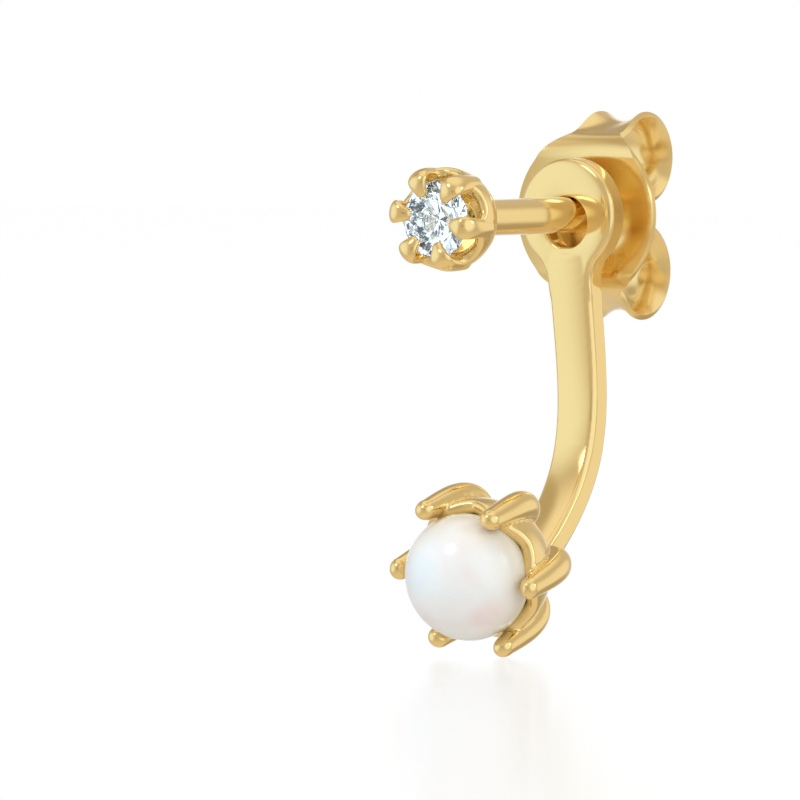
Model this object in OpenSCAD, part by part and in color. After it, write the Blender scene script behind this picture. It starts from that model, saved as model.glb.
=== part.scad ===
// Ear jacket earring: a claw-set stud whose post carries a hanging jacket with a pearl, and a butterfly clutch.
// Millimetres. +Z is up, the wearer's front is -Y, and the post runs along Y.
// The origin is on the post's axis, in the middle of the ear lobe.

/* [Lobe] */
// Room for the ear lobe, from the back of the stud's head to the front of the jacket's eye
lobe_gap = 4.4; // [4.1:0.1:6]

/* [Stone] */
// Diameter of the round brilliant across its girdle
stone_d = 2.25; // [2.15:0.01:2.28]
// Width of the table, as a part of the diameter
table_ratio = 0.56; // [0.53:0.01:0.6]
// Slope of the crown's main facets, in degrees
crown_angle = 34.5; // [33:0.5:35]
// Slope of the pavilion's main facets, in degrees
pavilion_angle = 40.75; // [40:0.25:41.5]
// Height of the girdle's edge
girdle_h = 0.05; // [0.03:0.01:0.06]

/* [Stud] */
// Outer radius of the head's round back
head_r = 1.5; // [1.48:0.01:1.6]
// Distance from the stone's girdle back to the centre of that round back
head_back = 0.46; // [0.4:0.01:0.5]
// Radius of the hollow behind the stone, at its mouth
head_hollow_r = 1.17; // [1.14:0.01:1.2]
// Direction of the first of the six claws, in degrees from +X
stud_claw_turn = 50; // [0:1:59]
// Diameter of the post
post_d = 1.05; // [0.8:0.01:1.06]
// Length of the post behind the front of the jacket's eye
post_reach = 3.7; // [3.4:0.1:4.5]

/* [Jacket] */
// Diameter of the eye that hangs on the post
eye_d = 3.26; // [3.1:0.02:3.4]
// Thickness of the eye
eye_t = 0.68; // [0.6:0.02:0.76]
// Width of the bevel round the eye
eye_bevel = 0.13; // [0.05:0.01:0.2]
// Diameter of the hole in the eye
eye_hole_d = 1.52; // [1.3:0.02:1.6]
// Width of the bar below the eye
bar_top_w = 1.48; // [1.4:0.02:1.6]
// Width of the bar at the pearl cup
bar_low_w = 1.3; // [1.2:0.02:1.4]
// Thickness of the bar
bar_t = 0.73; // [0.68:0.01:0.78]
// Radius of the bar's rounded edges
bar_edge_r = 0.14; // [0.08:0.01:0.2]

/* [Pearl] */
// Diameter of the button pearl
pearl_d = 3.75; // [3.6:0.05:3.8]
// Thickness of the button pearl along its axis
pearl_t = 3.3; // [3:0.05:3.35]
// Height of the pearl's centre below the post's axis
pearl_drop = 10.33; // [10.3:0.01:10.4]
// Distance of the pearl's centre in front of the eye
pearl_ahead = 4.82; // [4.8:0.01:4.85]
// Downward lean of the pearl's axis, in degrees
pearl_lean = 18; // [17:0.5:19]
// Turn of the pearl's claws about that axis, in degrees
pearl_claw_turn = -6; // [-10:1:10]
// Diameter of the peg that the pearl is glued on
peg_d = 0.76; // [0.6:0.02:0.9]

/* [Clutch] */
// Diameter of the clutch's disc
disc_d = 4.82; // [4.76:0.02:4.9]
// Thickness of the disc
disc_t = 0.22; // [0.22:0.01:0.24]
// Depth of the disc's dish
dish_depth = 0.3; // [0.26:0.01:0.32]
// Thickness of the rolled strip
strip_t = 0.16; // [0.15:0.01:0.16]
// Width of the rolled strip
strip_w = 1.7; // [1.66:0.02:1.8]
// Height of the strip's edges over its middle
gutter = 0.29; // [0.2:0.01:0.3]
// Radius of the upper scroll along the strip's middle
upper_scroll_r = 0.98; // [0.96:0.005:1]
// Radius of the lower scroll, which is rolled a little wider
lower_scroll_r = 1.05; // [1:0.005:1.06]
// Distance of the disc's rim behind the front of the eye
clutch_back = 0.95; // [0.95:0.01:1.3]

/* [Hidden] */
$fn = 96;

gold = "#e0b565";
nacre = "#f3ece6";
clear = "#dfe8f2";

// Clearances: stone to claw, pearl to cup, eye to post, clutch to post
pearl_gap = 0.04;
eye_gap = 0.02;
clutch_bore_gap = 0.04;
clutch_grip_gap = 0.03;
peg_gap = 0.02;

// Claws: sides of a claw's section, sections along it, and the slopes of the sections that round its tip
claw_sides = 10;
claw_steps = 10;
tip_slopes = [30, 55, 75];
claw_count = 6;
claw_step = 360 / claw_count;

// Places along the post
eye_y = lobe_gap / 2;
post_r = post_d / 2;
head_pole = head_r + head_back;
girdle_y = -lobe_gap / 2 - head_pole;

// Pearl and cup, seen from the pearl's centre
pearl_place = [0, eye_y - pearl_ahead, -pearl_drop];
cup_r = 2.1;
cup_centre = -0.6;
cup_rim = -1.0;
cup_wall = 0.36;
cup_floor = -pearl_t / 2 - pearl_gap;

// Clutch: height of the disc's cut edges, and how far behind its rim the scrolls' centres are
disc_r = disc_d / 2;
neck_z = 2.1;
upper_scroll_y = 1.97;
lower_scroll_y = 1.8;

// Point at t on the cubic curve with the four control values p
function curve(p, t) =
    pow(1 - t, 3) * p[0] + 3 * pow(1 - t, 2) * t * p[1] + 3 * (1 - t) * t * t * p[2] + pow(t, 3) * p[3];

// Direction of that curve at t, of length 1
function heading(p, t) =
    let (d = pow(1 - t, 2) * (p[1] - p[0]) + 2 * (1 - t) * t * (p[2] - p[1]) + t * t * (p[3] - p[2]))
    d / norm(d);

// Closed solid through a stack of rings with the same number of points, each turning anticlockwise
// as seen from the end of the stack
module skin(rings) {
    m = len(rings[0]);
    last = len(rings) - 1;
    sides = [
        for (i = [0:last - 1]) for (j = [0:m - 1])
            let (a = i * m + j, b = i * m + (j + 1) % m)
                each [[a, a + m, b], [b, a + m, b + m]]
    ];
    first_cap = [for (j = [0:m - 1]) j];
    last_cap = [for (j = [m - 1:-1:0]) last * m + j];
    polyhedron(points = [for (ring = rings) each ring], faces = concat(sides, [first_cap, last_cap]));
}

// One oval section of a claw. The claw lies in the XZ plane, X is away from the setting's axis and Z is forward.
// path holds control points [x, z], half_w and half_t control values. slope above 0 is a section of the round tip.
function claw_ring(path, half_w, half_t, t, slope = 0) =
    let (
        w = curve(half_w, t),
        h = curve(half_t, t),
        along = heading(path, t),
        centre = curve(path, t) + along * w * sin(slope),
        out = [along[1], -along[0]]
    )
    [
        for (k = [0:claw_sides - 1])
            let (
                turn = 360 * k / claw_sides,
                lift = h * cos(slope) * cos(turn),
                side = w * cos(slope) * sin(turn)
            )
                [centre[0] + out[0] * lift, side, centre[1] + out[1] * lift]
    ];

module claw(path, half_w, half_t) {
    shaft = [for (i = [0:claw_steps]) claw_ring(path, half_w, half_t, i / claw_steps)];
    tip = [for (slope = tip_slopes) claw_ring(path, half_w, half_t, 1, slope)];
    skin(concat(shaft, tip));
}

module claws(path, half_w, half_t, first_turn) {
    for (i = [0:claw_count - 1]) {
        rotate([0, 0, first_turn + i * claw_step]) claw(path, half_w, half_t);
    }
}

// Rounded notches through a cup's wall, one between each two claws, each drilled outwards from start_r
module scallops(r, z, start_r, first_turn) {
    for (i = [0:claw_count - 1]) {
        rotate([0, 90, first_turn + (i + 0.5) * claw_step]) translate([-z, 0, start_r]) {
            cylinder(r = r, h = cup_r);
        }
    }
}

// Coronet and post, in one piece. The coronet is drawn round Z with the stone's girdle at 0.
module claw_stud() {
    claw_path = [[1.3, -0.75], [1.42, 0], [1.42, 0.55], [0.86, 0.33]];
    claw_half_w = [0.26, 0.24, 0.4, 0.16];
    claw_half_t = [0.22, 0.16, 0.13, 0.085];
    rim_z = -0.42;
    notch_r = 0.38;
    notch_z = -0.2;
    hollow_waist = [0.95, -0.95];
    hollow_floor = [0.45, -1.35];
    post_tip = 0.12;
    post_start = girdle_y + head_pole - 0.3;
    post_end = eye_y + post_reach;
    color(gold) {
        translate([0, girdle_y, 0]) rotate([90, 0, 0]) {
            difference() {
                translate([0, 0, -head_back]) sphere(r = head_r);
                translate([0, 0, rim_z + head_r]) cube(2 * head_r, center = true);
                rotate_extrude() polygon([
                    [0, hollow_floor[1]],
                    hollow_floor,
                    hollow_waist,
                    [head_hollow_r, rim_z],
                    [head_hollow_r, 0],
                    [0, 0]
                ]);
                scallops(notch_r, notch_z, 2.1 * notch_r, stud_claw_turn);
            }
            claws(claw_path, claw_half_w, claw_half_t, stud_claw_turn);
        }
        translate([0, post_start, 0]) rotate([-90, 0, 0]) rotate_extrude() {
            polygon([
                [0, 0],
                [post_r, 0],
                [post_r, post_end - post_start - post_tip],
                [post_r - post_tip, post_end - post_start],
                [0, post_end - post_start]
            ]);
        }
    }
}

// Round brilliant: table, 8 stars, 8 kites and 16 upper halves over 8 pavilion mains and 16 lower halves
module round_stone() {
    r = stone_d / 2;
    table_r = table_ratio * r;
    half = 22.5;
    star_r = (table_r * cos(half) + r) / 2;
    lower_r = 0.23 * r;
    crown_z = girdle_h / 2;
    table_z = crown_z + (r - table_r) * tan(crown_angle);
    star_z = crown_z + (r - star_r * cos(half)) * tan(crown_angle);
    lower_z = -crown_z - (r - lower_r * cos(half)) * tan(pavilion_angle);
    culet_z = -crown_z - r * tan(pavilion_angle);
    eight = [for (k = [0:7]) k * 45];
    table = [for (a = eight) [table_r * cos(a), table_r * sin(a), table_z]];
    star = [for (a = eight) [star_r * cos(a + half), star_r * sin(a + half), star_z]];
    top = [for (k = [0:15]) [r * cos(k * half), r * sin(k * half), crown_z]];
    bottom = [for (k = [0:15]) [r * cos(k * half), r * sin(k * half), -crown_z]];
    lower = [for (a = eight) [lower_r * cos(a + half), lower_r * sin(a + half), lower_z]];
    // Where each group starts in the list of points
    s0 = 8;
    t0 = 16;
    b0 = 32;
    l0 = 48;
    culet = 56;
    crown_faces = [
        for (k = [0:7])
            let (next = (k + 1) % 8, before = (k + 7) % 8, g = t0 + 2 * k, g_mid = g + 1, g_next = t0 + 2 * next)
                each [
                    [k, next, s0 + k],
                    [k, s0 + k, g, s0 + before],
                    [s0 + k, g_mid, g],
                    [s0 + k, g_next, g_mid]
                ]
    ];
    girdle_faces = [
        for (k = [0:15]) let (next = (k + 1) % 16) [t0 + k, t0 + next, b0 + next, b0 + k]
    ];
    pavilion_faces = [
        for (k = [0:7])
            let (next = (k + 1) % 8, before = (k + 7) % 8, g = b0 + 2 * k, g_mid = g + 1, g_next = b0 + 2 * next)
                each [
                    [culet, l0 + before, g, l0 + k],
                    [l0 + k, g, g_mid],
                    [l0 + k, g_mid, g_next]
                ]
    ];
    color(clear) translate([0, girdle_y, 0]) rotate([90, 0, 0]) polyhedron(
        points = concat(table, star, top, bottom, lower, [[0, 0, culet_z]]),
        faces = concat([[for (k = [7:-1:0]) k]], crown_faces, girdle_faces, pavilion_faces)
    );
}

// Rectangle of half sizes a and b with rounded corners, anticlockwise
function rounded_rectangle(a, b, r) = [
    for (corner = [0:3]) for (k = [0:2])
        let (
            turn = 90 * corner + 45 * k,
            cx = (corner == 0 || corner == 3) ? a - r : r - a,
            cy = corner < 2 ? b - r : r - b
        )
            [cx + r * cos(turn), cy + r * sin(turn)]
];

// Bar from the eye down to the pearl cup, along a curve given as [y, z] seen from the front of the eye
module bar() {
    steps = 30;
    spine = [[0.38, -1.1], [0.93, -5.7], [1.77, -7.25], [-2.3, -10.44]];
    neck_flare = 0.3;
    neck_end = 0.16;
    rings = [
        for (i = [0:steps])
            let (
                t = i / steps,
                p = curve(spine, t),
                d = heading(spine, t),
                flare = neck_flare * pow(max(0, 1 - t / neck_end), 2),
                half_w = (bar_top_w + (bar_low_w - bar_top_w) * t) / 2 + flare
            )
                [
                    for (q = rounded_rectangle(half_w, bar_t / 2, bar_edge_r))
                        [q[0], eye_y + p[0] + d[1] * q[1], p[1] - d[0] * q[1]]
                ]
    ];
    skin(rings);
}

// Cup of the pearl with its claws and peg, drawn round Z with the pearl's centre at 0
module pearl_cup() {
    claw_path = [[1.45, -2.05], [2.36, -2.15], [2.28, -0.7], [2.32, 0.12]];
    claw_half_w = [0.28, 0.3, 0.26, 0.31];
    claw_half_t = [0.2, 0.25, 0.22, 0.28];
    notch_r = 0.62;
    notch_z = -0.82;
    peg_top = -0.5;
    inner_r = cup_r - cup_wall;
    floor_r = 1.0;
    difference() {
        translate([0, 0, cup_centre]) sphere(r = cup_r);
        translate([0, 0, cup_rim + cup_r]) cube(2 * cup_r, center = true);
        rotate_extrude() {
            polygon([[0, cup_floor], [floor_r, cup_floor], [inner_r, cup_rim], [inner_r, 0], [0, 0]]);
        }
        scallops(notch_r, notch_z, 2.1 * notch_r, pearl_claw_turn);
    }
    claws(claw_path, claw_half_w, claw_half_t, pearl_claw_turn);
    translate([0, 0, cup_floor - 0.2]) cylinder(d = peg_d, h = peg_top - cup_floor + 0.2);
}

module on_pearl_axis() {
    translate(pearl_place) rotate([90 + pearl_lean, 0, 0]) children();
}

// Eye, bar and pearl cup, in one casting. The eye hangs with the top of its hole on the post.
module jacket() {
    r = eye_d / 2;
    hole_r = eye_hole_d / 2;
    hole_drop = hole_r - post_r - eye_gap;
    color(gold) difference() {
        union() {
            translate([0, eye_y, 0]) rotate([-90, 0, 0]) rotate_extrude() {
                polygon([
                    [0, 0],
                    [r - eye_bevel, 0],
                    [r, eye_bevel],
                    [r, eye_t - eye_bevel / 2],
                    [r - eye_bevel / 2, eye_t],
                    [0, eye_t]
                ]);
            }
            bar();
            on_pearl_axis() pearl_cup();
        }
        translate([0, eye_y - 1, -hole_drop]) rotate([-90, 0, 0]) cylinder(r = hole_r, h = 3);
    }
}

// Button pearl, drilled from behind for the peg
module pearl() {
    bands = 36;
    outline = [
        for (i = [0:bands])
            let (a = -90 + 180 * i / bands) [pearl_d / 2 * cos(a), pearl_t / 2 * sin(a)]
    ];
    hole_top = -0.46;
    color(nacre) on_pearl_axis() difference() {
        rotate_extrude() polygon(outline);
        translate([0, 0, -pearl_t]) cylinder(r = peg_d / 2 + peg_gap, h = pearl_t + hole_top);
    }
}

// Ease from 0 to 1
function ease(t) = t * t * (3 - 2 * t);

// Strip of the clutch that folds back from the disc's upper edge, narrows, bends up and rolls round onto the post.
// Its middle is a fold, a bend the other way, a line and the scroll's arc, as [y, z] from the disc's rim and the post.
module scroll(scroll_y, scroll_r) {
    across = 8;
    fold_steps = 8;
    bend_steps = 4;
    line_steps = 6;
    arc_steps = 30;
    fold_r = 0.2;
    fold_centre = [0.425, 1.925];
    fold_start = 190;
    bend_r = 0.3;
    bend_centre = [0.65, fold_centre[1] + fold_r + bend_r];
    arc_end = -115;
    fold_half_w = 1.12;
    neck_half_w = 0.86;
    neck_rise = 0.02;
    centre = [scroll_y, post_r + clutch_grip_gap + strip_t / 2 + scroll_r];
    reach = centre - bend_centre;
    // Direction of the line that touches the bend and the scroll
    slope = atan2(reach[1], reach[0]) + asin((scroll_r + bend_r) / norm(reach));
    touch = 90 + slope;
    line_start = bend_centre - bend_r * [cos(touch), sin(touch)];
    line_end = centre + scroll_r * [cos(touch), sin(touch)];
    bend_part = 0.2;
    // Each row is the middle's place, its direction, the half width and the rise of the edges
    fold_rows = [
        for (i = [0:fold_steps - 1])
            let (
                a = fold_start + (90 - fold_start) * i / fold_steps,
                t = ease(i / fold_steps)
            )
                [
                    fold_centre + fold_r * [cos(a), sin(a)],
                    [sin(a), -cos(a)],
                    fold_half_w + (neck_half_w - fold_half_w) * t,
                    neck_rise
                ]
    ];
    bend_rows = [
        for (i = [0:bend_steps - 1])
            let (a = -90 + slope * i / bend_steps, t = ease(bend_part * i / bend_steps))
                [
                    bend_centre + bend_r * [cos(a), sin(a)],
                    [-sin(a), cos(a)],
                    neck_half_w + (strip_w / 2 - neck_half_w) * t,
                    neck_rise + (gutter - neck_rise) * t
                ]
    ];
    line_rows = [
        for (i = [0:line_steps - 1])
            let (part = i / line_steps, t = ease(bend_part + (1 - bend_part) * part))
                [
                    line_start + (line_end - line_start) * part,
                    [cos(slope), sin(slope)],
                    neck_half_w + (strip_w / 2 - neck_half_w) * t,
                    neck_rise + (gutter - neck_rise) * t
                ]
    ];
    arc_rows = [
        for (i = [0:arc_steps])
            let (a = touch + (arc_end - touch) * i / arc_steps)
                [centre + scroll_r * [cos(a), sin(a)], [sin(a), -cos(a)], strip_w / 2, gutter]
    ];
    rings = [
        for (row = concat(fold_rows, bend_rows, line_rows, arc_rows))
            let (out = [-row[1][1], row[1][0]])
                [
                    for (side = [1, -1]) for (k = [0:across])
                        let (
                            u = side * (2 * k / across - 1),
                            lift = row[3] * u * u + side * strip_t / 2
                        )
                            [row[2] * u, row[0][0] + out[0] * lift, row[0][1] + out[1] * lift]
                ]
    ];
    skin(rings);
}

// Butterfly clutch: a dished disc with a hole for the post, and a scroll above and below it
module butterfly_clutch() {
    dish_r = (disc_r * disc_r + dish_depth * dish_depth) / (2 * dish_depth);
    bore_r = post_r + clutch_bore_gap;
    color(gold) translate([0, eye_y + clutch_back, 0]) difference() {
        union() {
            intersection() {
                rotate([-90, 0, 0]) rotate_extrude() intersection() {
                    difference() {
                        translate([0, dish_depth + disc_t - dish_r]) circle(r = dish_r, $fn = 360);
                        translate([0, dish_depth - dish_r]) circle(r = dish_r, $fn = 360);
                    }
                    translate([0, -1]) square([disc_r, 2]);
                }
                cube([disc_d, 4, 2 * neck_z], center = true);
            }
            scroll(upper_scroll_y, upper_scroll_r);
            mirror([0, 0, 1]) scroll(lower_scroll_y, lower_scroll_r);
        }
        translate([0, -0.5, 0]) rotate([-90, 0, 0]) cylinder(r = bore_r, h = 1.4);
    }
}

claw_stud();
round_stone();
jacket();
pearl();
butterfly_clutch();
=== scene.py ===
import math

import bmesh
import bpy
import numpy as np
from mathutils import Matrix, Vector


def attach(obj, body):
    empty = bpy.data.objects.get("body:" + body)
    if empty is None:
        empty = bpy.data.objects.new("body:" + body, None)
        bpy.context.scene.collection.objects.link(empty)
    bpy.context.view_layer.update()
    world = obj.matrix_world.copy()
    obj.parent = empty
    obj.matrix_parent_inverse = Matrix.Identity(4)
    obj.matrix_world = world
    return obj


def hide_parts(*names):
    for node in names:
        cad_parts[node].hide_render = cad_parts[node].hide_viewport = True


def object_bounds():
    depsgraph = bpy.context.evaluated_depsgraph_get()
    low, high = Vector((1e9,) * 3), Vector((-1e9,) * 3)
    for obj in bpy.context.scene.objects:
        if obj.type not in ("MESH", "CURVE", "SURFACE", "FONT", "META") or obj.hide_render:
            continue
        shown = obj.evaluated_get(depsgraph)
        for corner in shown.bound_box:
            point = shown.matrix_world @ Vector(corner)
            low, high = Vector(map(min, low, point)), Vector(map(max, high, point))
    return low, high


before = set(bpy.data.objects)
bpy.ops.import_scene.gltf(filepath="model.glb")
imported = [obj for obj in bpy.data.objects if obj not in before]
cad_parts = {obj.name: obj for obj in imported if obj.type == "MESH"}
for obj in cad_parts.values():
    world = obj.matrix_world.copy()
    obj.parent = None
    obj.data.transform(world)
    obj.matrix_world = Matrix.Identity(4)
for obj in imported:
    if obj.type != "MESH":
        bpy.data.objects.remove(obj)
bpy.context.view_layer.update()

# The camera stands in front, 36 degrees to the right and a little above, with a long lens, as a product
# photographer's does for jewellery. The jacket's eye comes to pixel 565, 215 in an image of 800 by 800.
MM = 0.001
EYE_Y = 2.2
VIEW_TURN = math.radians(36.1)
VIEW_RISE = math.radians(2.0)
PIXELS_PER_MM = 34.5
IMAGE = 800
EYE_PIXEL = (565, 215)
CAMERA_FAR = 600
SENSOR = 36

to_camera = np.array([
    math.sin(VIEW_TURN) * math.cos(VIEW_RISE),
    -math.cos(VIEW_TURN) * math.cos(VIEW_RISE),
    math.sin(VIEW_RISE),
])
to_right = np.array([math.cos(VIEW_TURN), math.sin(VIEW_TURN), 0])
to_top = np.cross(to_camera, to_right)
image_middle = (
    np.array([0, EYE_Y, 0])
    + to_right * (IMAGE / 2 - EYE_PIXEL[0]) / PIXELS_PER_MM
    + to_top * (EYE_PIXEL[1] - IMAGE / 2) / PIXELS_PER_MM
)
lens = bpy.data.cameras.new("camera")
lens.sensor_width = SENSOR
lens.lens = SENSOR * CAMERA_FAR * PIXELS_PER_MM / IMAGE
lens.clip_start = 0.05
lens.clip_end = 5
camera = bpy.data.objects.new("camera", lens)
camera.location = (image_middle + to_camera * CAMERA_FAR) * MM
camera.rotation_euler = (math.pi / 2 - VIEW_RISE, 0, VIEW_TURN)
bpy.context.scene.collection.objects.link(camera)
bpy.context.scene.camera = camera


# The coronet: a cup with six claws, which are bent over the stone. It is one casting in silver, polished all
# over and gold-plated, so the claws flow into the cup with small fillets.
GIRDLE_Y = -4.16
HEAD_R = 1.5
HEAD_BACK = 0.46
HOLLOW_R = 1.17
CLAW_TURN = 50
RIM_LOW = -0.57
RIM_HIGH = -0.2
RIM_PEAK = 13
LIP_FLAT = 0.8
CORONET_VOXEL = 0.025
CORONET_ROUNDS = 4


def bezier(controls, t):
    """Points of the cubic Bezier curve of four control rows: each row times its Bernstein weight at t."""
    c = np.asarray(controls, float).reshape(4, -1)
    weights = np.stack([(1 - t) ** 3, 3 * (1 - t) ** 2 * t, 3 * (1 - t) * t ** 2, t ** 3], 1)
    return weights @ c


def claw(path, half_wide, half_thick, rows=60, sides=32, tip_rows=14):
    """Closed grid of a claw in the plane of X (out from the setting's axis) and Z (forward). Its middle
    runs on a Bezier curve and its half width w and half thickness h on two more. A section is the middle
    plus h cos a across and w sin a sideways. Past the end, sections at slope q shrink as cos q while their
    centres move on by w sin q, which rounds the tip."""
    t = np.concatenate([np.linspace(0, 1, rows), np.ones(tip_rows)])
    slope = np.concatenate([np.zeros(rows), np.linspace(0, math.pi / 2, tip_rows + 1)[1:]])
    centre = bezier(path, t)
    w = bezier(half_wide, t)[:, 0]
    h = bezier(half_thick, t)[:, 0]
    after = np.minimum(t + 1e-4, 1.0)
    ahead = bezier(path, after) - bezier(path, after - 2e-4)
    ahead /= np.linalg.norm(ahead, axis=1, keepdims=True)
    centre = centre + ahead * (w * np.sin(slope))[:, None]
    across = np.stack([ahead[:, 1], -ahead[:, 0]], 1)
    a = np.linspace(0, 2 * math.pi, sides, endpoint=False)
    lift = np.outer(h * np.cos(slope), np.cos(a))
    side = np.outer(w * np.cos(slope), np.sin(a))
    grid = np.stack([
        centre[:, :1] + across[:, :1] * lift,
        side,
        centre[:, 1:] + across[:, 1:] * lift,
    ], 2)
    root = np.repeat(grid[:1].mean(1, keepdims=True), sides, 1)
    return np.concatenate([root, grid])


def turned(profile, columns=192):
    """Surface of revolution round Z: the profile's radius times cos and sin of each column's angle. profile
    is a list of (radius, height), or a function from the columns' angles to arrays of radius and height."""
    a = np.linspace(0, 2 * math.pi, columns, endpoint=False)
    if callable(profile):
        r, z = profile(a)
    else:
        p = np.asarray(profile, float)
        r, z = np.repeat(p[:, :1], columns, 1), np.repeat(p[:, 1:], columns, 1)
    return np.stack([r * np.cos(a), r * np.sin(a), z], 2)


def turn_z(grid, degrees):
    """The grid turned about Z."""
    c, s = math.cos(math.radians(degrees)), math.sin(math.radians(degrees))
    return grid @ np.array([[c, s, 0], [-s, c, 0], [0, 0, 1]])


def in_setting(grid, lean=90, place=(0, GIRDLE_Y, 0)):
    """A grid drawn round Z, tipped forward about X by lean degrees and moved to its place."""
    c, s = math.cos(math.radians(lean)), math.sin(math.radians(lean))
    return grid @ np.array([[1, 0, 0], [0, c, s], [0, -s, c]]) + np.asarray(place, float)


def scalloped_cup(radius, centre_z, rim, hollow, lip_rows=12, rows=60):
    """Profile function of a cup whose outside is a sphere and whose rim height depends on the angle. Rows
    run from the outer pole up the sphere (radius times sin q, minus radius times cos q), over a lip that is
    a flattened half circle, and down the hollow to its floor."""
    def profile(a):
        top = rim(a)
        end = np.arccos(-(top - centre_z) / radius)
        q = np.linspace(0, 1, rows)[:, None] * end
        outer_r, outer_z = radius * np.sin(q), centre_z - radius * np.cos(q)
        half = (outer_r[-1] - hollow[0][0]) / 2
        b = np.linspace(0, math.pi, lip_rows)[1:-1, None]
        lip_r = outer_r[-1] - half + half * np.cos(b)
        lip_z = top + LIP_FLAT * half * np.sin(b)
        inner_r = np.array([p[0] for p in hollow])[:, None] + 0 * a
        inner_z = np.array([p[1] for p in hollow])[:, None] + 0 * a
        inner_z[0] = top
        return np.concatenate([outer_r, lip_r, inner_r]), np.concatenate([outer_z, lip_z, inner_z])
    return profile


def faces_of(rows, columns, start):
    """Quads between neighbouring rows of a grid that closes on itself across its columns."""
    i = np.arange(rows - 1)[:, None] * columns
    j = np.arange(columns)[None, :]
    k = (j + 1) % columns
    return np.stack([i + j, i + k, i + columns + k, i + columns + j], 2).reshape(-1, 4) + start


def mesh_of(name, points, quads):
    """A mesh from an array of points and an array of quads."""
    mesh = bpy.data.meshes.new(name)
    mesh.vertices.add(len(points))
    mesh.vertices.foreach_set("co", np.asarray(points, np.float32).ravel())
    mesh.loops.add(quads.size)
    mesh.loops.foreach_set("vertex_index", quads.astype(np.int32).ravel())
    mesh.polygons.add(len(quads))
    mesh.polygons.foreach_set("loop_start", np.arange(0, quads.size, quads.shape[1], dtype=np.int32))
    mesh.update(calc_edges=True)
    mesh.validate()
    return mesh


def shell(name, grids):
    """One object, in millimetres, from closed grids. Rows that shrink to a point are merged, and the faces
    are turned outwards."""
    points, quads, start = [], [], 0
    for grid in grids:
        points.append(grid.reshape(-1, 3))
        quads.append(faces_of(grid.shape[0], grid.shape[1], start))
        start += grid.shape[0] * grid.shape[1]
    mesh = mesh_of(name, np.concatenate(points), np.concatenate(quads))
    b = bmesh.new()
    b.from_mesh(mesh)
    bmesh.ops.remove_doubles(b, verts=b.verts, dist=1e-5)
    bmesh.ops.dissolve_degenerate(b, edges=b.edges, dist=1e-6)
    bmesh.ops.recalc_face_normals(b, faces=b.faces)
    b.to_mesh(mesh)
    b.free()
    piece = bpy.data.objects.new(name, mesh)
    bpy.context.scene.collection.objects.link(piece)
    return piece


def settled(piece):
    """The piece with its modifiers worked in, brought from millimetres to metres and shaded smooth."""
    graph = bpy.context.evaluated_depsgraph_get()
    done = bpy.data.meshes.new_from_object(piece.evaluated_get(graph))
    piece.modifiers.clear()
    old = piece.data
    piece.data = done
    bpy.data.meshes.remove(old)
    done.name = piece.name
    co = np.empty(len(done.vertices) * 3, np.float32)
    done.vertices.foreach_get("co", co)
    done.vertices.foreach_set("co", co * MM)
    done.polygons.foreach_set("use_smooth", np.ones(len(done.polygons), bool))
    done.update()
    return piece


def cast(name, grids, voxel, rounds):
    """Overlapping closed grids run together into one skin, as metal does in a mould. Four smoothing rounds
    leave a fillet of about a voxel and a half."""
    piece = shell(name, grids)
    skin = piece.modifiers.new("skin", "REMESH")
    skin.mode = "VOXEL"
    skin.voxel_size = voxel
    polish = piece.modifiers.new("polish", "SMOOTH")
    polish.factor = 0.5
    polish.iterations = rounds
    return settled(piece)


def linear(colour):
    """An sRGB hex colour as linear light: each channel to the power 2.4 above a short straight toe."""
    c = np.array([int(colour[i:i + 2], 16) for i in (1, 3, 5)]) / 255
    c = np.where(c <= 0.04045, c / 12.92, ((c + 0.055) / 1.055) ** 2.4)
    return (*c.tolist(), 1.0)


def add(tree, kind, settings=(), links=(), **sockets):
    """Adds one node. settings are (attribute, value), links are (own input, other node's output), and
    sockets are input values by name, with _ for a space."""
    node = tree.nodes.new(kind)
    for key, value in settings:
        setattr(node, key, value)
    for key, value in sockets.items():
        node.inputs[key.replace("_", " ")].default_value = value
    for key, output in links:
        tree.links.new(output, node.inputs[key])
    return node


def new_material(name):
    """An empty material and its output node."""
    material = bpy.data.materials.new(name)
    material.use_nodes = True
    tree = material.node_tree
    tree.nodes.clear()
    return material, tree, tree.nodes.new("ShaderNodeOutputMaterial")


# Yellow gold plate over cast silver, polished with a felt wheel: a warm mirror, a little soft, whose surface
# still waves slightly from the casting. The waves are about 0.9 mm apart, the wheel's haze about 0.05 mm.
GOLD = "#f0cf8c"
# Painted light: the pale cream that the gold turns to on rays it has already mirrored, which lightens creases
# and hollows
PAINTED_CREASE_LIGHT_GOLD = "#fcf1d4"
WAVE_APART = 0.9 * MM
HAZE_APART = 0.05 * MM
CAST_WAVE = 0.004 * MM
WHEEL_HAZE = (0.08, 0.13)


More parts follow.
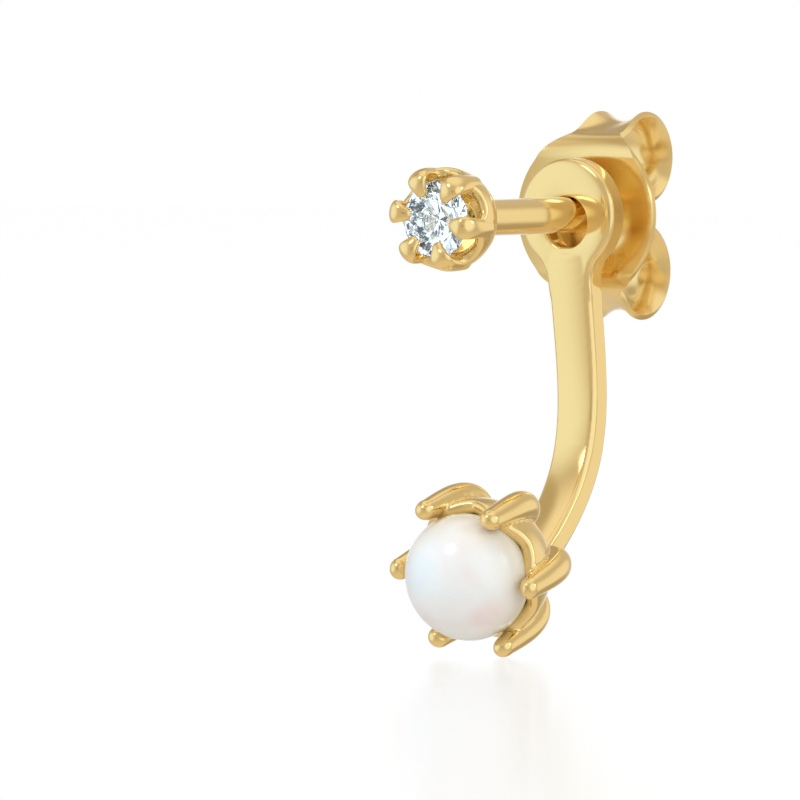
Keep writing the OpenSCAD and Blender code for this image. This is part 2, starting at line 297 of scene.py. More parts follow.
def gold_plate(name, wave, haze_range):
    """Gold whose roughness follows a fine noise within haze_range, and whose bump a slow noise, wave deep."""
    material, tree, out = new_material(name)
    where = add(tree, "ShaderNodeTexCoord").outputs["Object"]
    waves = add(tree, "ShaderNodeTexNoise", links=[("Vector", where)], Scale=1 / WAVE_APART, Detail=1.0)
    haze = add(tree, "ShaderNodeTexNoise", links=[("Vector", where)], Scale=1 / HAZE_APART, Detail=3.0)
    spread = add(
        tree, "ShaderNodeMapRange", links=[("Value", haze.outputs["Fac"])],
        From_Min=0.3, From_Max=0.7, To_Min=haze_range[0], To_Max=haze_range[1],
    )
    bump = add(
        tree, "ShaderNodeBump", links=[("Height", waves.outputs["Fac"])], Strength=1.0, Distance=wave,
    )
    # Painted light in creases: after the first mirroring the gold's colour is blended by ray depth towards a
    # pale cream, so light mirrored back and forth in creases and hollows stays pale golden instead of turning
    # red
    mirrored = add(tree, "ShaderNodeLightPath").outputs["Ray Depth"]
    again = add(tree, "ShaderNodeMapRange", links=[("Value", mirrored)], From_Min=0.0, From_Max=1.6)
    tint = add(tree, "ShaderNodeMix", [("data_type", "RGBA")], [(0, again.outputs["Result"])])
    tint.inputs[6].default_value = linear(GOLD)
    tint.inputs[7].default_value = linear(PAINTED_CREASE_LIGHT_GOLD)
    metal = add(
        tree, "ShaderNodeBsdfPrincipled",
        links=[("Base Color", tint.outputs[2]), ("Roughness", spread.outputs["Result"]),
               ("Normal", bump.outputs["Normal"])],
        Metallic=1.0,
    )
    tree.links.new(metal.outputs["BSDF"], out.inputs["Surface"])
    return material


polished_gold = gold_plate("polished gold plate", CAST_WAVE, WHEEL_HAZE)


def rim_of_coronet(a):
    """Rim height: low between the claws, with a narrow bell-shaped rise at each of the six."""
    off = (np.degrees(a) - CLAW_TURN + 30) % 60 - 30
    return RIM_LOW + (RIM_HIGH - RIM_LOW) * np.exp(-((off / RIM_PEAK) ** 2))


coronet_cup = turned(scalloped_cup(
    HEAD_R, -HEAD_BACK, rim_of_coronet,
    [(HOLLOW_R, 0), (1.12, -0.72), (0.95, -0.95), (0.45, -1.35), (0, -1.35)],
))
stud_claw = claw(
    [[1.3, -0.75], [1.42, 0], [1.42, 0.55], [0.86, 0.33]],
    [0.28, 0.24, 0.48, 0.2], [0.24, 0.19, 0.17, 0.12],
)
stud_claws = [turn_z(stud_claw, CLAW_TURN + 60 * k) for k in range(6)]
coronet = cast(
    "claw_coronet", [in_setting(g) for g in [coronet_cup] + stud_claws],
    CORONET_VOXEL, CORONET_ROUNDS,
)
coronet.data.materials.clear()
coronet.data.materials.append(polished_gold)
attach(coronet, "stud")
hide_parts("claw_stud")

# The post: drawn wire, soldered to the coronet's back with a small fillet, its end rounded over.
POST_R = 0.525
POST_FROM = -2.5
POST_TO = 5.9
SOLDER = 0.1
SOLDER_FADE = 0.12
TIP_R = 0.12

along = np.concatenate([np.linspace(0, 1, 40), np.linspace(1.2, POST_TO - POST_FROM - TIP_R, 60)])
fillet = POST_R + SOLDER * np.exp(-np.maximum(along - 0.3, 0) / SOLDER_FADE)
tip = np.linspace(0, math.pi / 2, 10)[1:]
post_profile = np.concatenate([
    [[0, 0]],
    np.stack([fillet, along], 1),
    np.stack([POST_R - TIP_R + TIP_R * np.cos(tip), along[-1] + TIP_R * np.sin(tip)], 1),
    [[0, along[-1] + TIP_R]],
])
post = settled(shell("ear_post", [in_setting(turned(post_profile, 96), -90, (0, POST_FROM, 0))]))
post.data.materials.clear()
post.data.materials.append(polished_gold)
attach(post, "stud")
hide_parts("claw_stud")

# The stone: a round brilliant of cubic zirconia with 57 flat facets, cut and polished. It rests in the
# coronet's hollow and the claws hold its crown.
STONE_R = 1.125
TABLE_R = 0.56 * STONE_R
CROWN = math.tan(math.radians(34.5))
PAVILION = math.tan(math.radians(40.75))
GIRDLE_H = 0.05
LOWER_R = 0.23 * STONE_R


def brilliant():
    """Points and faces of a brilliant. Its eight crown mains and eight pavilion mains are planes through the
    girdle at a fixed slope, so a corner at radius r lies slope times (girdle radius less r) from the girdle.
    The table, the stars and the halves join those corners."""
    half = math.pi / 8
    star_r = (TABLE_R * math.cos(half) + STONE_R) / 2
    eighth = np.arange(8) * 2 * half
    sixteenth = np.arange(16) * half

    def ring(r, angles, z):
        return np.stack([r * np.cos(angles), r * np.sin(angles), np.full(len(angles), z)], 1)

    top = GIRDLE_H / 2
    points = np.concatenate([
        ring(TABLE_R, eighth, top + (STONE_R - TABLE_R) * CROWN),
        ring(star_r, eighth + half, top + (STONE_R - star_r * math.cos(half)) * CROWN),
        ring(STONE_R, sixteenth, top),
        ring(STONE_R, sixteenth, -top),
        ring(LOWER_R, eighth + half, -top - (STONE_R - LOWER_R * math.cos(half)) * PAVILION),
        [[0, 0, -top - STONE_R * PAVILION]],
    ])
    star, girdle, under, lower, culet = 8, 16, 32, 48, 56
    faces = [tuple(range(8))]
    for k in range(8):
        n, b = (k + 1) % 8, (k + 7) % 8
        g, u = girdle + 2 * k, under + 2 * k
        gn, un = girdle + 2 * n, under + 2 * n
        faces += [
            (k, star + k, n), (k, star + b, g, star + k), (star + k, g, g + 1), (star + k, g + 1, gn),
            (g, u, u + 1, g + 1), (g + 1, u + 1, un, gn),
            (culet, lower + k, u, lower + b), (lower + k, u + 1, u), (lower + k, un, u + 1),
        ]
    return points, faces


stone_points, stone_faces = brilliant()
stone_mesh = bpy.data.meshes.new("brilliant_stone")
stone_mesh.from_pydata((in_setting(stone_points) * MM).tolist(), [], stone_faces)
turned_out = bmesh.new()
turned_out.from_mesh(stone_mesh)
bmesh.ops.recalc_face_normals(turned_out, faces=turned_out.faces)
turned_out.to_mesh(stone_mesh)
turned_out.free()
stone = bpy.data.objects.new("brilliant_stone", stone_mesh)
bpy.context.scene.collection.objects.link(stone)

# Colourless cubic zirconia, polished: facets flash white, pale blue and black. The pavilion is cut to turn
# all light back through the crown, which a silvery mirror on its facets stands for.
zirconia, tree, out = new_material("colourless cubic zirconia")
crystal = add(
    tree, "ShaderNodeBsdfPrincipled",
    Base_Color=linear("#fbfdff"), Roughness=0.0, IOR=2.15, Transmission_Weight=1.0,
)
tree.links.new(crystal.outputs["BSDF"], out.inputs["Surface"])
mirror_back, tree, out = new_material("zirconia pavilion")
silvery = add(tree, "ShaderNodeBsdfPrincipled", Base_Color=linear("#f4f9ff"), Roughness=0.0, Metallic=1.0)
tree.links.new(silvery.outputs["BSDF"], out.inputs["Surface"])
stone.data.materials.append(zirconia)
stone.data.materials.append(mirror_back)
UNDER_GIRDLE = 32
of_pavilion = [int(min(face) >= UNDER_GIRDLE) for face in stone_faces]
stone.data.polygons.foreach_set("material_index", of_pavilion)
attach(stone, "stud")
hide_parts("round_stone")

# The jacket: an eye that hangs on the post, a curved bar and a cup with six round claws for the pearl. One
# casting in silver, polished and gold-plated, so everything flows together with soft fillets.
EYE_R = 1.64
EYE_T = 0.68
EYE_SOFT = 0.05
EYE_CROWN = 0.03
BEVEL_WIDE = 0.16
BEVEL_TOP = 0.1
BEVEL_DEEP = 0.12
BEVEL_FROM = math.radians(22)
EYE_HOLE_R = 0.76
EYE_HOLE_DROP = EYE_HOLE_R - POST_R - 0.02
NECK_FILLET = 1.0
NECK_HALF_W = 0.76
NECK_LOW = -2.7
NECK_SINK = 0.05
BAR_T = 0.73
BAR_TOP_W = 1.48
BAR_LOW_W = 1.3
BAR_EDGE_R = 0.15
BAR_EDGE_FLAT = 0.14
BAR_CROWN = 0.045
SPINE = [[0.38, -1.1], [0.93, -5.7], [1.77, -7.25], [-2.3, -10.44]]
JACKET_VOXEL = 0.044
JACKET_ROUNDS = 3


def circle_at(a):
    """Unit vectors at these angles."""
    return np.stack([np.cos(a), np.sin(a)], 1)


def spine_at(t):
    """Middle of the bar at t, as (y, z), and its direction."""
    p = bezier(SPINE, t)
    d = np.gradient(p, axis=0)
    return p, d / np.linalg.norm(d, axis=1, keepdims=True)


def front_at(z):
    """How far the casting's front lies behind the eye's face at height z: the bar's own front below the eye
    and nothing above, averaged over a short stretch so that the one bends softly into the other."""
    p, d = spine_at(np.linspace(0, 0.6, 120))
    y, height = p[:, 0] + d[:, 1] * BAR_T / 2, p[:, 1] - d[:, 0] * BAR_T / 2
    order = np.argsort(height)
    stretch = np.asarray(z)[..., None] + np.linspace(-0.4, 0.4, 21)
    own_front = np.maximum(np.interp(stretch, height[order], y[order]), 0) * (stretch < -1.0)
    return own_front.mean(-1)


def eye():
    """Closed ring between the hole and a keyhole outline: the eye's circle, a fillet on each side that
    touches circle and neck, and the neck's sides. Rows run over the bevel, down the outer wall, across the
    back, up the hole's wall and over the face, which swells by 4 u (1 - u) times a small crown. A row lies
    inwards of the outline along its normals, and everything follows the casting's front. The neck's end
    sinks a little, so it goes under the bar's skin."""
    drop = math.sqrt((EYE_R + NECK_FILLET) ** 2 - (NECK_HALF_W + NECK_FILLET) ** 2)
    low = math.atan2(-drop, NECK_HALF_W + NECK_FILLET)
    crown = circle_at(np.linspace(low, math.pi - low, 280))
    turn = circle_at(np.linspace(-low, 0, 40)[1:])
    left = np.array([-NECK_HALF_W - NECK_FILLET, -drop])
    side = np.linspace(-drop, NECK_LOW, 24)[1:, None]
    left_side = np.concatenate([0 * side - NECK_HALF_W, side], 1)
    left_half = np.concatenate([left + NECK_FILLET * turn, left_side])
    left_out = np.concatenate([-turn, np.repeat([[-1.0, 0.0]], len(side), 0)])
    mirror = np.array([-1, 1])
    outline = np.concatenate([crown * EYE_R, left_half, (left_half * mirror)[::-1]])
    outward = np.concatenate([crown, left_out, (left_out * mirror)[::-1]])
    sink = NECK_SINK * np.clip((outline[:, 1] + drop) / (NECK_LOW + drop), 0, 1) ** 2
    width = BEVEL_WIDE + BEVEL_TOP * np.clip(outline[:, 1] / EYE_R, 0, 1)
    a = np.arctan2(outline[:, 1], outline[:, 0])
    rows = []

    def outer(inset, y):
        at = outline - outward * (inset + sink)[:, None]
        rows.append(np.stack([at[:, 0], EYE_Y + front_at(at[:, 1]) + sink + y, at[:, 1]], 1))

    def inner(inset, y):
        at = circle_at(a) * (EYE_HOLE_R + inset) - [0, EYE_HOLE_DROP]
        rows.append(np.stack([at[:, 0], EYE_Y + y + 0 * a, at[:, 1]], 1))

    for q in np.linspace(BEVEL_FROM, math.pi / 2, 8):
        inwards = (1 - math.sin(q)) / (1 - math.sin(BEVEL_FROM))
        outer(width * inwards, BEVEL_DEEP * (1 - math.cos(q) / math.cos(BEVEL_FROM)))
    q = np.linspace(0, math.pi / 2, 6)
    for angle in q:
        outer(EYE_SOFT * (1 - math.cos(angle)) + 0 * a, EYE_T - EYE_SOFT + EYE_SOFT * math.sin(angle))
    for angle in q[::-1]:
        inner(EYE_SOFT * (1 - math.cos(angle)), EYE_T - EYE_SOFT + EYE_SOFT * math.sin(angle))
    for angle in q:
        inner(EYE_SOFT / 2 * (1 - math.cos(angle)), EYE_SOFT / 2 * (1 - math.sin(angle)))
    on_ring = np.clip((outline[:, 1] + EYE_R) / 1.0, 0, 1)
    from_hole, to_bevel = rows[-1], rows[0]
    for u in np.linspace(0, 1, 10)[1:-1]:
        face = from_hole * (1 - u) + to_bevel * u
        face[:, 1] -= EYE_CROWN * 4 * u * (1 - u) * on_ring
        rows.append(face)
    return np.stack(rows + [to_bevel])


def bar_section(half_w, half_t, per_corner=9):
    """Rectangle with round corners as (side, front) rows: each corner's centre plus r cos q and r sin q. The
    front ones are flattened towards a bevel, and the front between them is a shallow arc."""
    q = np.linspace(0, math.pi / 2, per_corner)
    turn = (np.arange(4)[:, None] * math.pi / 2 + q).ravel()
    sx = np.repeat([1, -1, -1, 1], per_corner)
    sy = np.repeat([1, 1, -1, -1], per_corner)
    r = BAR_EDGE_R * (1 - BAR_EDGE_FLAT * np.sin(2 * np.tile(q, 4)) ** 2 * (sy > 0))
    side = sx * (half_w - BAR_EDGE_R) + r * np.cos(turn)
    front = sy * (half_t - BAR_EDGE_R) + r * np.sin(turn)
    u = np.linspace(1, -1, 13)[1:-1]
    face = u * (half_w - BAR_EDGE_R)
    side = np.concatenate([side[:per_corner], face, side[per_corner:]])
    front = np.concatenate([front[:per_corner], half_t + BAR_CROWN * (1 - u ** 2), front[per_corner:]])
    return side, front


def bar(rows=160):
    """The section carried along the spine's curve, square to it. At the top it is shifted so that its front
    stays with the casting's front."""
    t = np.linspace(0, 1, rows)
    p, d = spine_at(t)
    half_w = (BAR_TOP_W + (BAR_LOW_W - BAR_TOP_W) * t) / 2
    side, front = (np.array(part) for part in zip(*(bar_section(w, BAR_T / 2) for w in half_w)))
    face_y, face_z = p[:, 0] + d[:, 1] * BAR_T / 2, p[:, 1] - d[:, 0] * BAR_T / 2
    shift = np.where(t < 0.55, front_at(face_z) - face_y, 0)
    grid = np.stack([
        side,
        EYE_Y + p[:, :1] + shift[:, None] + d[:, 1:] * front,
        p[:, 1:] - d[:, :1] * front,
    ], 2)
    ends = [np.repeat(g.mean(0, keepdims=True), grid.shape[1], 0)[None] for g in (grid[0], grid[-1])]
    return np.concatenate([ends[0], grid, ends[1]])


PEARL_PLACE = (0, EYE_Y - 4.82, -10.33)
PEARL_LEAN = 90 + 18
PEARL_CLAW_TURN = -6
PEARL_R = 1.875
PEARL_HALF_T = 1.65
CUP_R = 2.1
CUP_CENTRE = -0.6
CUP_LOW = -0.82
CUP_HIGH = -0.42
CUP_PEAK = 20
CUP_FLOOR = -PEARL_HALF_T - 0.04
PEG_R = 0.38


def rim_of_cup(a):
    """Rim height: low between the claws, with a bell-shaped rise at each of the six."""
    off = (np.degrees(a) - PEARL_CLAW_TURN + 30) % 60 - 30
    return CUP_LOW + (CUP_HIGH - CUP_LOW) * np.exp(-((off / CUP_PEAK) ** 2))


pearl_cup = turned(scalloped_cup(
    CUP_R, CUP_CENTRE, rim_of_cup, [(1.67, 0), (1.4, -1.32), (1.0, CUP_FLOOR), (0, CUP_FLOOR)],
))
pearl_claw = claw(
    [[1.4, -2.05], [2.3, -2.15], [2.16, -0.7], [2.27, 0.12]],
    [0.4, 0.52, 0.4, 0.33], [0.34, 0.45, 0.4, 0.3],
)
PEG_FOOT = CUP_FLOOR - 0.2
PEG_TOP = -0.5
peg = turned(
    [[0, PEG_FOOT], [PEG_R, PEG_FOOT], [PEG_R, PEG_TOP - 0.05], [PEG_R - 0.05, PEG_TOP], [0, PEG_TOP]], 64,
)
pearl_claws = [turn_z(pearl_claw, PEARL_CLAW_TURN + 60 * k) for k in range(6)]
pearl_setting = [in_setting(g, PEARL_LEAN, PEARL_PLACE) for g in [pearl_cup, peg] + pearl_claws]
jacket = cast(
    "jacket_casting", [eye(), bar()] + pearl_setting,
    JACKET_VOXEL, JACKET_ROUNDS,
)
jacket.data.materials.clear()
jacket.data.materials.append(polished_gold)
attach(jacket, "jacket_drop")
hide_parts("jacket")

# The pearl: a white button pearl, glued on the cup's peg. Real ones are never quite true, so this one swells
# and flattens by a few hundredths of a millimetre.
PEARL_UNEVEN = 0.012


def button_pearl(rows=180, columns=240):
    """Flattened sphere: radius R cos v and height T sin v, times one plus a small sum of slow waves."""
    v = np.linspace(-math.pi / 2, math.pi / 2, rows)[:, None]
    u = np.linspace(0, 2 * math.pi, columns, endpoint=False)[None, :]
    wave = 1 + PEARL_UNEVEN * (
        0.5 * np.sin(2 * u + 0.7) * np.cos(v) ** 2
        + 0.35 * np.sin(3 * v + 0.4) * np.cos(v)
        - 0.3
    )
    r = PEARL_R * np.cos(v) * wave
    return np.stack([r * np.cos(u), r * np.sin(u), PEARL_HALF_T * np.sin(v) * wave + 0 * u], 2)


pearl = settled(shell("button_pearl", [in_setting(button_pearl(), PEARL_LEAN, PEARL_PLACE)]))

# Nacre: layers of aragonite over each other, so light glows from inside, and broad soft patches of pink and
# blue, about 2 mm wide, lie on the white. Painted shade: from the front of the dome towards the girdle and
# over the back the colour turns to a darker cream, for the falloff at the pearl's edges. Its skin is clear
# and glossy.
PATCH_APART = 2.2 * MM
NACRE_PATCHES = [(0.34, "#fbe9e6"), (0.43, "#fdfaf8"), (0.52, "#fbfdfb"), (0.6, "#edf8fb"), (0.7, "#fdf6ea")]
# Painted shade: the darker cream of the pearl's edges, towards the girdle and over the back
PAINTED_RIM_SHADE = "#e9dbc6"
PAINTED_RIM_SHADE_FROM = -0.2 * MM
PAINTED_RIM_SHADE_TO = 1.4 * MM
nacre, tree, out = new_material("white nacre")
where = add(tree, "ShaderNodeTexCoord").outputs["Object"]
patches = add(
    tree, "ShaderNodeTexNoise", links=[("Vector", where)], Scale=1 / PATCH_APART, Detail=1.5, Roughness=0.4,
)
orient = add(tree, "ShaderNodeValToRGB", links=[("Fac", patches.outputs["Fac"])])
stops = orient.color_ramp.elements
for k, (place, colour) in enumerate(NACRE_PATCHES):
    stop = stops[k] if k < len(stops) else stops.new(place)
    stop.position = place
    stop.color = linear(colour)
axis = in_setting(np.array([[0, 0, 1.0]]), PEARL_LEAN, (0, 0, 0))[0]
height = add(tree, "ShaderNodeVectorMath", [("operation", "DOT_PRODUCT")], [(0, where)])
height.inputs[1].default_value = axis
girdle_at = float(np.dot(axis, PEARL_PLACE)) * MM
# Painted shade: 1 from just behind the girdle, fading to 0 towards the front of the dome; the colour is
# blended to the darker cream by it
painted_rim_shade = add(
    tree, "ShaderNodeMapRange", [("interpolation_type", "SMOOTHSTEP")], [("Value", height.outputs["Value"])],
    From_Min=girdle_at + PAINTED_RIM_SHADE_FROM, From_Max=girdle_at + PAINTED_RIM_SHADE_TO, To_Min=1.0, To_Max=0.0,
)
skin = add(
    tree, "ShaderNodeMix", [("data_type", "RGBA")],
    [(0, painted_rim_shade.outputs["Result"]), (6, orient.outputs["Color"])],
)
skin.inputs[7].default_value = linear(PAINTED_RIM_SHADE)
lustre = add(
    tree, "ShaderNodeBsdfPrincipled",
    links=[("Base Color", skin.outputs[2])],
    Roughness=0.28, IOR=1.6, Subsurface_Weight=0.3, Subsurface_Scale=0.5 * MM,
    Coat_Weight=0.9, Coat_Roughness=0.12, Coat_IOR=1.6,
)
tree.links.new(lustre.outputs["BSDF"], out.inputs["Surface"])
pearl.data.materials.clear()
pearl.data.materials.append(nacre)
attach(pearl, "jacket_drop")
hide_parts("pearl")

# The butterfly clutch: one strip of gold-plated sheet, stamped with a dished disc in its middle and pierced,
# its two ends folded back and rolled into scrolls that pinch the post.
SHEET_T = 0.17
SHEET_EDGE_R = 0.035
DISC_R = 2.41
DISH_DEPTH = 0.3
DISH_BACK = 0.11
DISH_R = (DISC_R ** 2 + DISH_DEPTH ** 2) / (2 * DISH_DEPTH)
CLUTCH_Y = EYE_Y + 0.95
BORE_R = 0.565
BORE_BOW_TO = 1.4
FOLD_R = 0.57
FOLD_FROM_Z = 1.63
STRIP_HALF_W = 0.86
STRIP_RISE = 0.02
SCROLL_HALF_W = 0.85
SCROLL_RISE = 0.29
SCROLL_OFF_POST = 0.11
SCROLL_END = -115
UPPER_SCROLL = (1.97, 0.98)
LOWER_SCROLL = (1.8, 1.05)
DISH_ROWS, FOLD_ROWS, LINE_ROWS, SCROLL_ROWS = 44, 26, 16, 90


def ease(t):
    """From 0 to 1 with flat ends: 3 t squared less 2 t cubed."""
    return t * t * (3 - 2 * t)


def strip(scroll_y, scroll_r, across=56):
    """Mid surface of half the strip, from the disc's middle to the scroll's end. Rows follow a line in the
    YZ plane: up the dish, round a fold, along the straight line that touches fold and scroll, then round the
    scroll. A row at u from -1 to 1 is half width times u sideways, lifted by rise times u squared along the
    line's normal. Near the disc's middle the rows bow up round the bore."""
    centre = np.array([scroll_y, POST_R + SCROLL_OFF_POST + scroll_r])
    z = np.linspace(0, FOLD_FROM_Z, DISH_ROWS)
    dish = np.stack([DISH_DEPTH + DISH_BACK - z ** 2 / (2 * DISH_R), z], 1)
    lean = math.atan(z[-1] / DISH_R)
    fold = dish[-1] + FOLD_R * np.array([math.cos(lean), math.sin(lean)])
    reach = centre - fold
    slope = math.atan2(reach[1], reach[0]) + math.asin((scroll_r - FOLD_R) / np.linalg.norm(reach))
    touch = math.pi / 2 + slope
    round_fold = fold + FOLD_R * circle_at(np.linspace(math.pi + lean, touch, FOLD_ROWS))
    round_scroll = centre + scroll_r * circle_at(np.linspace(touch, math.radians(SCROLL_END), SCROLL_ROWS))
    part = np.linspace(0, 1, LINE_ROWS)[1:, None]
    line = round_fold[-1:] + (round_scroll[:1] - round_fold[-1:]) * part
    middle = np.concatenate([dish[:-1], round_fold, line, round_scroll[1:]])
    ahead = np.gradient(middle, axis=0)
    ahead /= np.linalg.norm(ahead, axis=1, keepdims=True)
    normal = np.stack([-ahead[:, 1], ahead[:, 0]], 1)
    on_disc = np.concatenate([dish[:-1], round_fold])[:, 1]
    w_disc = np.maximum(np.sqrt(np.maximum(DISC_R ** 2 - on_disc ** 2, 0)), STRIP_HALF_W)
    bent = ease(np.clip((on_disc - FOLD_FROM_Z) / (round_fold[-1, 1] - FOLD_FROM_Z), 0, 1))
    rise_disc = w_disc ** 2 / (2 * DISH_R) * (1 - bent) + STRIP_RISE * bent
    t = ease(part[:, 0])
    on_scroll = np.ones(SCROLL_ROWS - 1)
    w = np.concatenate([
        w_disc, STRIP_HALF_W + (SCROLL_HALF_W - STRIP_HALF_W) * t, SCROLL_HALF_W * on_scroll,
    ])
    rise = np.concatenate([
        rise_disc, STRIP_RISE + (SCROLL_RISE - STRIP_RISE) * t, SCROLL_RISE * on_scroll,
    ])
    u = np.sin(np.linspace(-1, 1, across) * math.pi / 2)[None, :]
    x = w[:, None] * u
    lift = rise[:, None] * u ** 2
    y = middle[:, :1] + normal[:, :1] * lift
    up = middle[:, 1:] + normal[:, 1:] * lift
    bow = np.sqrt(np.maximum(BORE_R ** 2 - x ** 2, 0)) * np.maximum(0, 1 - up / BORE_BOW_TO)
    return np.stack([x, CLUTCH_Y + y, up + bow], 2)


def open_faces(rows, columns, start, flip):
    """Quads of a grid that is open on all its sides."""
    i = np.arange(rows - 1)[:, None] * columns
    j = np.arange(columns - 1)[None, :]
    quads = np.stack([i + j, i + j + 1, i + columns + j + 1, i + columns + j], 2).reshape(-1, 4) + start
    return quads[:, ::-1] if flip else quads


upper = strip(*UPPER_SCROLL)
lower = strip(*LOWER_SCROLL)
lower[:, :, 2] *= -1
clutch_mesh = mesh_of(
    "butterfly_clutch_sheet",
    np.concatenate([upper.reshape(-1, 3), lower.reshape(-1, 3)]),
    np.concatenate([
        open_faces(upper.shape[0], upper.shape[1], 0, False),
        open_faces(lower.shape[0], lower.shape[1], upper[..., 0].size, True),
    ]),
)
joined = bmesh.new()
joined.from_mesh(clutch_mesh)
bmesh.ops.remove_doubles(joined, verts=joined.verts, dist=1e-4)
bmesh.ops.recalc_face_normals(joined, faces=joined.faces)
joined.to_mesh(clutch_mesh)
joined.free()
clutch = bpy.data.objects.new("butterfly_clutch_sheet", clutch_mesh)
bpy.context.scene.collection.objects.link(clutch)
sheet = clutch.modifiers.new("sheet", "SOLIDIFY")
sheet.thickness = SHEET_T
sheet.offset = 0
sheet.use_even_offset = True
edges = clutch.modifiers.new("edges", "BEVEL")
edges.width = SHEET_EDGE_R
edges.segments = 3
edges.limit_method = "ANGLE"
edges.angle_limit = math.radians(50)
settled(clutch)
clutch.data.materials.clear()
# Gold plate over rolled sheet, tumbled and not wheeled: the same waves as the castings, and a softer mirror
clutch.data.materials.append(gold_plate("tumbled gold plate", CAST_WAVE, (0.16, 0.22)))
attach(clutch, "clutch")
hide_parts("butterfly_clutch")

# The photographer's table: a sheet of white acrylic, lit through from below and glossy, so it mirrors what
# stands on it faintly. It is seen from above only, so that nothing hides the jewel's underside.
floor_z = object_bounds()[0][2]
TABLE_HALF = 0.4
table_mesh = bpy.data.meshes.new("table")
corners = [(-1, -1), (1, -1), (1, 1), (-1, 1)]
table_mesh.from_pydata([(x * TABLE_HALF, y * TABLE_HALF, floor_z) for x, y in corners], [], [(0, 1, 2, 3)])
table = bpy.data.objects.new("table", table_mesh)
bpy.context.scene.collection.objects.link(table)
acrylic, tree, out = new_material("white acrylic table")
lit_through = add(tree, "ShaderNodeEmission", Color=(1, 1, 1, 1), Strength=1.0)
gloss = add(tree, "ShaderNodeBsdfGlossy", Color=(1, 1, 1, 1), Roughness=0.12)
both = add(
    tree, "ShaderNodeMixShader",
    links=[(1, lit_through.outputs["Emission"]), (2, gloss.outputs["BSDF"])], Fac=0.22,
)
under = add(tree, "ShaderNodeNewGeometry").outputs["Backfacing"]
clear = add(tree, "ShaderNodeBsdfTransparent")
one_sided = add(
    tree, "ShaderNodeMixShader",
    links=[(0, under), (1, both.outputs["Shader"]), (2, clear.outputs["BSDF"])],
)
tree.links.new(one_sided.outputs["Shader"], out.inputs["Surface"])
table_mesh.materials.append(acrylic)
table.visible_glossy = False
table.visible_diffuse = False
table.visible_transmission = False

# The light: a white tent all round, with brighter panels and darker gaps between them. Each has its azimuth
# (0 in front, positive to the right) and elevation, the angles from its middle where it is full and where it
# has faded out, and its light.
TENT_WALL = (0.69, 0.67, 0.63)
TENT = [
    ("floor", 0, -90, 25, 74, (0.86, 0.82, 0.74)),
    ("ceiling", 0, 90, 20, 48, (1.05, 1.07, 1.08)),
    ("left panel", -52, 4, 12, 44, (1.03, 1.19, 1.34)),
    ("upper left gap", -82, 46, 4, 18, (0.55, 0.52, 0.45)),
    ("right panel", 76, 10, 22, 46, (1.1, 1.22, 1.32)),
    ("rear right panel", 150, 4, 12, 32, (1.0, 1.02, 1.02)),
    ("backdrop", -144, 2, 12, 24, (1.02, 1.02, 1.02)),
    ("rear left gap", -132, 34, 8, 24, (0.5, 0.46, 0.38)),
    ("rear floor gap", 175, -34, 10, 30, (0.5, 0.46, 0.36)),
    ("lens", 14, 2, 3, 13, (0.5, 0.48, 0.45)),
    ("left light", -14, 38, 5, 12, (3.0, 3.2, 3.4)),
    ("right light", 106, 24, 4, 12, (2.0, 2.2, 2.4)),
]
# The stone sees a ring of small black cards round the lens, which give its facets their black flashes
STONE_WALL = (1.5, 1.56, 1.6)
STONE_CARDS = [
    ("far left sky", -70, -10, 12, 30, (0.5, 0.64, 0.78)),
    ("far right sky", 110, -30, 12, 30, (0.5, 0.64, 0.78)),
    ("high sky", 30, 75, 12, 30, (0.6, 0.72, 0.85)),
    ("lens card", 36, 2, 12, 13, (0.0, 0.0, 0.01)),
]
for k in range(8):
    across, up = 40 * math.cos(k * math.pi / 4), 40 * math.sin(k * math.pi / 4)
    STONE_CARDS.append(("black card", 36 + across, 2 + up, 9, 10, (0.01, 0.015, 0.03)))
world = bpy.data.worlds.new("tent")
bpy.context.scene.world = world
world.use_nodes = True
tree = world.node_tree
tree.nodes.clear()
out = tree.nodes.new("ShaderNodeOutputWorld")
where = add(tree, "ShaderNodeTexCoord").outputs["Generated"]


def toward(azimuth, elevation):
    """Unit vector: sine and minus cosine of the azimuth times the elevation's cosine, then its sine."""
    a, e = math.radians(azimuth), math.radians(elevation)
    return (math.sin(a) * math.cos(e), -math.cos(a) * math.cos(e), math.sin(e))


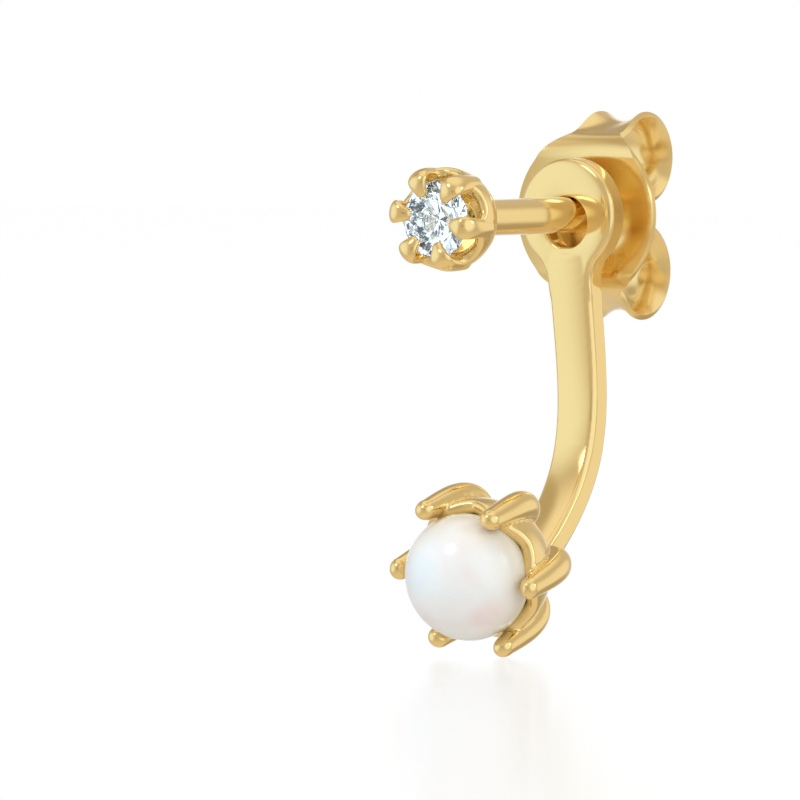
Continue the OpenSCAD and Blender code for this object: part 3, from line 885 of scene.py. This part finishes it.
def hung(wall, cards):
    """Background whose light is the wall's, and then each card's in turn as the cosine of the angle to the
    card's middle passes from that of gone to that of full."""
    light = add(tree, "ShaderNodeRGB").outputs["Color"]
    light.default_value = (*wall, 1)
    for name, azimuth, elevation, full, gone, colour in cards:
        facing = add(tree, "ShaderNodeVectorMath", [("operation", "DOT_PRODUCT")], [(0, where)])
        facing.inputs[1].default_value = toward(azimuth, elevation)
        spot = add(
            tree, "ShaderNodeMapRange", [("interpolation_type", "SMOOTHSTEP")],
            [("Value", facing.outputs["Value"])],
            From_Min=math.cos(math.radians(gone)), From_Max=math.cos(math.radians(full)),
        )
        spot.label = name
        layer = add(
            tree, "ShaderNodeMix", [("data_type", "RGBA")], [(0, spot.outputs["Result"]), (6, light)],
        )
        layer.inputs[7].default_value = (*colour, 1)
        light = layer.outputs[2]
    return add(tree, "ShaderNodeBackground", links=[("Color", light)], Strength=1.0).outputs["Background"]


ray = add(tree, "ShaderNodeLightPath").outputs
around = add(
    tree, "ShaderNodeMixShader",
    links=[(0, ray["Is Transmission Ray"]), (1, hung(TENT_WALL, TENT)), (2, hung(STONE_WALL, STONE_CARDS))],
)
white = add(tree, "ShaderNodeBackground", Color=(1, 1, 1, 1), Strength=1.0)
seen = add(
    tree, "ShaderNodeMixShader",
    links=[(0, ray["Is Camera Ray"]), (1, around.outputs["Shader"]), (2, white.outputs["Background"])],
)
tree.links.new(seen.outputs["Shader"], out.inputs["Surface"])

# Two soft boxes light the pearl through its skin. Nothing mirrors them, as the panels are there for that.
SOFT_BOXES = [("left_soft_box", -40, 30, 0.08), ("right_soft_box", 62, 26, 0.08)]
BOX_SIDE = 160 * MM
BOX_FAR = 250 * MM
BOX_DROP = 5 * MM
for name, azimuth, elevation, power in SOFT_BOXES:
    lamp = bpy.data.lights.new(name, "AREA")
    lamp.size = BOX_SIDE
    lamp.energy = power
    box = bpy.data.objects.new(name, lamp)
    box.location = np.array(toward(azimuth, elevation)) * BOX_FAR - [0, 0, BOX_DROP]
    box.rotation_euler = (math.radians(90 - elevation), 0, math.radians(azimuth))
    box.visible_glossy = False
    bpy.context.scene.collection.objects.link(box)

settings = bpy.context.scene
settings.view_settings.view_transform = "Standard"
settings.cycles.max_bounces = 24
settings.cycles.transmission_bounces = 20
settings.cycles.glossy_bounces = 12
